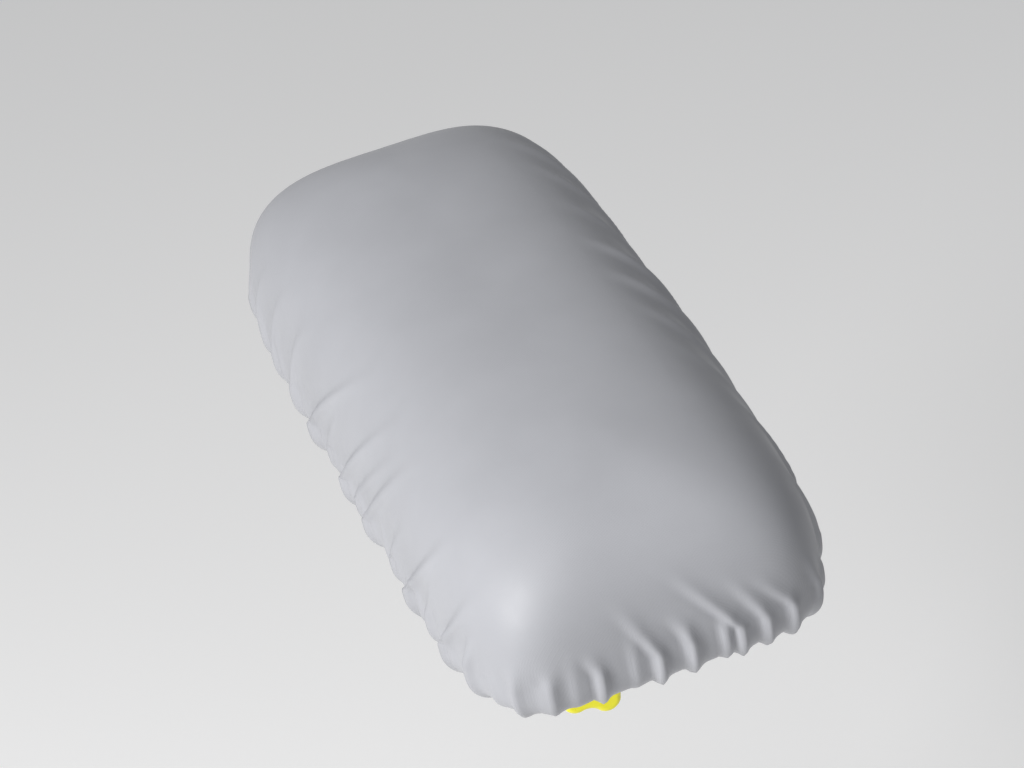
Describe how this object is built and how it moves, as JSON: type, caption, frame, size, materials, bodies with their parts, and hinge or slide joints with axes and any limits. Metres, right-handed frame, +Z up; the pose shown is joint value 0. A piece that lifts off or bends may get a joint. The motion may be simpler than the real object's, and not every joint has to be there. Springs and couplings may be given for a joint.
{
  "type": "padded armrest bolster",
  "caption": "Crowned padded armrest bolster in a fitted grey cover, on a square post that slides in a bolt-on bracket and locks with a lobed knob.",
  "frame": {"origin": "centre of the mounting plate's outer face, which bolts to the table's frame", "axes": "+X out of the mounting face towards the table's frame, +Y along the bolster towards the table's head end, +Z up; the bolster is at its raised stop with the knob tight"},
  "size_m": [0.174, 0.385, 0.2224],
  "materials": {
    "cover": "smooth coated stretch fabric, semi-matt",
    "elastic": "woven elastic",
    "vinyl": "fine-grained upholstery vinyl",
    "wadding": "polyester fibre",
    "soft_foam": "open-cell foam",
    "firm_foam": "open-cell foam",
    "plywood": "birch plywood",
    "dust_cloth": "non-woven cloth",
    "powder_coat": "cream powder coat",
    "chrome_post": "satin chrome plate",
    "zinc": "bright zinc plate",
    "black_plastic": "moulded nylon",
    "rubber": "matt rubber",
    "yellow_plastic": "moulded plastic, satin gloss",
    "brass": "machined"
  },
  "bodies": {
    "bracket": {"mounting_plate": "powder_coat", "bracket_arm": "powder_coat", "socket_tube": "powder_coat", "upper_guide": "black_plastic", "lower_guide": "black_plastic", "drop_bumper": "rubber", "clamp_housing": "powder_coat", "retaining_plate": "zinc", "retaining_screws": "zinc"},
    "armrest": {"fitted_cover": "cover", "cover_hem": "cover", "hem_elastic": "elastic", "vinyl_upholstery": "vinyl", "fibre_wrap": "wadding", "comfort_foam": "soft_foam", "support_foam": "firm_foam", "base_board": "plywood", "tee_nuts": "zinc", "underside_cloth": "dust_cloth", "staples": "zinc", "pad_plate": "powder_coat", "plate_washers": "zinc", "plate_screws": "zinc", "post_tube": "chrome_post", "post_end_cap": "black_plastic"},
    "lock_knob": {"clamp_knob": "yellow_plastic", "knob_cap": "black_plastic", "clamp_spindle": "zinc"},
    "clamp_shoe": {"pressure_shoe": "brass"}
  },
  "joints": [
    {"name": "height_slide", "type": "slide", "parent": "bracket", "child": "armrest", "axis": [0, 0, 1], "range_m": [-0.06, 0]},
    {"name": "knob_turn", "type": "hinge", "parent": "bracket", "child": "lock_knob", "pos_m": [-0.094, -0.06, 0], "axis": [0, -1, 0], "range_deg": [0, 540]},
    {"name": "shoe_travel", "type": "slide", "parent": "bracket", "child": "clamp_shoe", "axis": [0, -1, 0], "range_m": [0, 0.00226]}
  ],
  "couplings": [
    {"joint": "shoe_travel", "follows": "knob_turn", "m_per_rad": 0.00023873}
  ]
}
